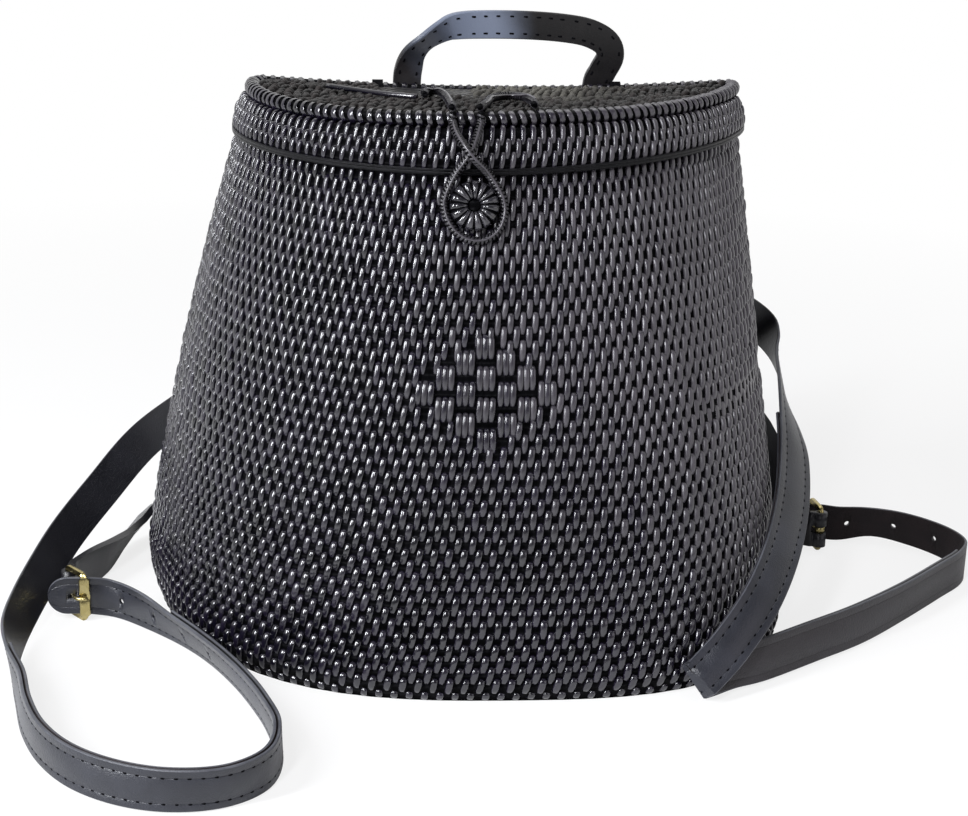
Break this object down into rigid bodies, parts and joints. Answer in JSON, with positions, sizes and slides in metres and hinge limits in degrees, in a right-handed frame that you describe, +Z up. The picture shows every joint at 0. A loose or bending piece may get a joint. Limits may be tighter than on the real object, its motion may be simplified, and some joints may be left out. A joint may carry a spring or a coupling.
{
  "type": "pack basket",
  "caption": "Black woven pack basket with flat back, hinged lid with loop and button closure, leather carry handle and two buckled leather shoulder straps lying loose beside it.",
  "frame": {"origin": "on the floor, under the basket's flat base, 75 mm in front of its flat back", "axes": "+Z up, the front of the basket with its button faces -Y, its flat back faces +Y, +X to the right when looking at the front"},
  "size_m": [0.4585, 0.2961, 0.2693],
  "materials": {
    "cane": "dyed black cane, glossy",
    "cane_matte": "dyed cane, dull",
    "cord": "whipped dyed cord",
    "leather": "satin blue-black",
    "brass": "worn antique brass",
    "dark_metal": "dark satin"
  },
  "bodies": {
    "basket": {"base_panel": "cane_matte", "body_wall": "cane", "collar": "cane", "mouth_coil": "cane", "hinge_ring_left": "cord", "hinge_ring_right": "cord", "button": "cord", "button_cord": "cord", "handle_foot_left": "leather", "handle_foot_right": "leather", "rivet_handle_left_1": "dark_metal", "rivet_handle_left_2": "dark_metal", "rivet_handle_right_1": "dark_metal", "rivet_handle_right_2": "dark_metal", "rivet_upper_left_1": "dark_metal", "rivet_upper_left_2": "dark_metal", "rivet_upper_right_1": "dark_metal", "rivet_upper_right_2": "dark_metal", "rivet_lower_left_1": "dark_metal", "rivet_lower_left_2": "dark_metal", "rivet_lower_right_1": "dark_metal", "rivet_lower_right_2": "dark_metal", "strap_left_upper": "leather", "strap_left_lower": "leather", "strap_right_upper": "leather", "strap_right_lower": "leather", "short_strap_left": "leather", "short_strap_right": "leather", "buckle_left": "brass", "buckle_right": "brass"},
    "lid": {"lid_coil": "cane", "lid_panel": "cane_matte", "lid_skirt": "cane", "lid_rim": "cane", "loop_root_left": "cord", "loop_root_right": "cord", "tie_cord": "cord"},
    "loop": {"closure_loop": "cord"},
    "carry_handle": {"handle": "leather"},
    "left_prong": {"prong_left": "brass"},
    "right_prong": {"prong_right": "brass"}
  },
  "joints": [
    {"name": "lid_hinge", "type": "hinge", "parent": "basket", "child": "lid", "pos_m": [0.0196, 0.0678, 0.23314], "axis": [-1, 0, 0], "range_deg": [0, 90]},
    {"name": "loop_flip", "type": "hinge", "parent": "lid", "child": "loop", "pos_m": [-0.0006, -0.03945, 0.2428], "axis": [-1, 0, 0], "range_deg": [0, 180.5]},
    {"name": "handle_fold", "type": "hinge", "parent": "basket", "child": "carry_handle", "pos_m": [0.0227, 0.0779, 0.215], "axis": [-1, 0, 0], "range_deg": [0, 80]},
    {"name": "left_prong_play", "type": "hinge", "parent": "basket", "child": "left_prong", "pos_m": [-0.17943, -0.00303, 0.0118], "axis": [0, 0, -1], "range_deg": [0, 9]},
    {"name": "right_prong_play", "type": "hinge", "parent": "basket", "child": "right_prong", "pos_m": [0.18848, 0.06734, 0.0118], "axis": [0, 0, 1], "range_deg": [0, 6]}
  ],
  "couplings": [
    {"joint": "loop_flip", "follows": "lid_hinge", "ratio": 2}
  ]
}
